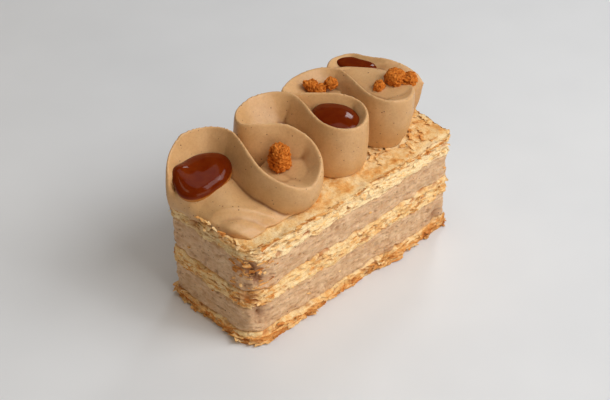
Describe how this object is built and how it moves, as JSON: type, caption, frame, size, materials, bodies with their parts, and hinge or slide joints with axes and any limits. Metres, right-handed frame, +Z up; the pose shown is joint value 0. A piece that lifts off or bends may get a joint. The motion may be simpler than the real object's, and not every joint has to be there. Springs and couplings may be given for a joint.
{
  "type": "mille-feuille",
  "caption": "Single slice of layered puff pastry and speculoos cream, topped with an S-shaped ribbon of piped cream that holds drops of caramel and biscuit crumbs.",
  "frame": {"origin": "centre of the flat underside of the slice", "axes": "+X along the slice, from the tongue of the piping towards its end; +Z up; -Y is the long side seen in the picture"},
  "size_m": [0.1284, 0.0535, 0.0813],
  "materials": {
    "pastry": "flaky, baked",
    "cream": "soft, matt",
    "piped_cream": "smooth, satin",
    "caramel": "glossy, clear",
    "biscuit": "crumbly, dry"
  },
  "bodies": {
    "root": {"pastry_bottom": "pastry", "cream_lower": "cream", "pastry_middle": "pastry", "cream_upper": "cream", "pastry_top": "pastry", "caramel_1": "caramel", "caramel_2": "caramel", "caramel_3": "caramel", "crumb_1": "biscuit", "crumb_2": "biscuit", "crumb_3": "biscuit", "crumb_4": "biscuit", "crumb_5": "biscuit", "piped_cream": "piped_cream"}
  },
  "joints": []
}
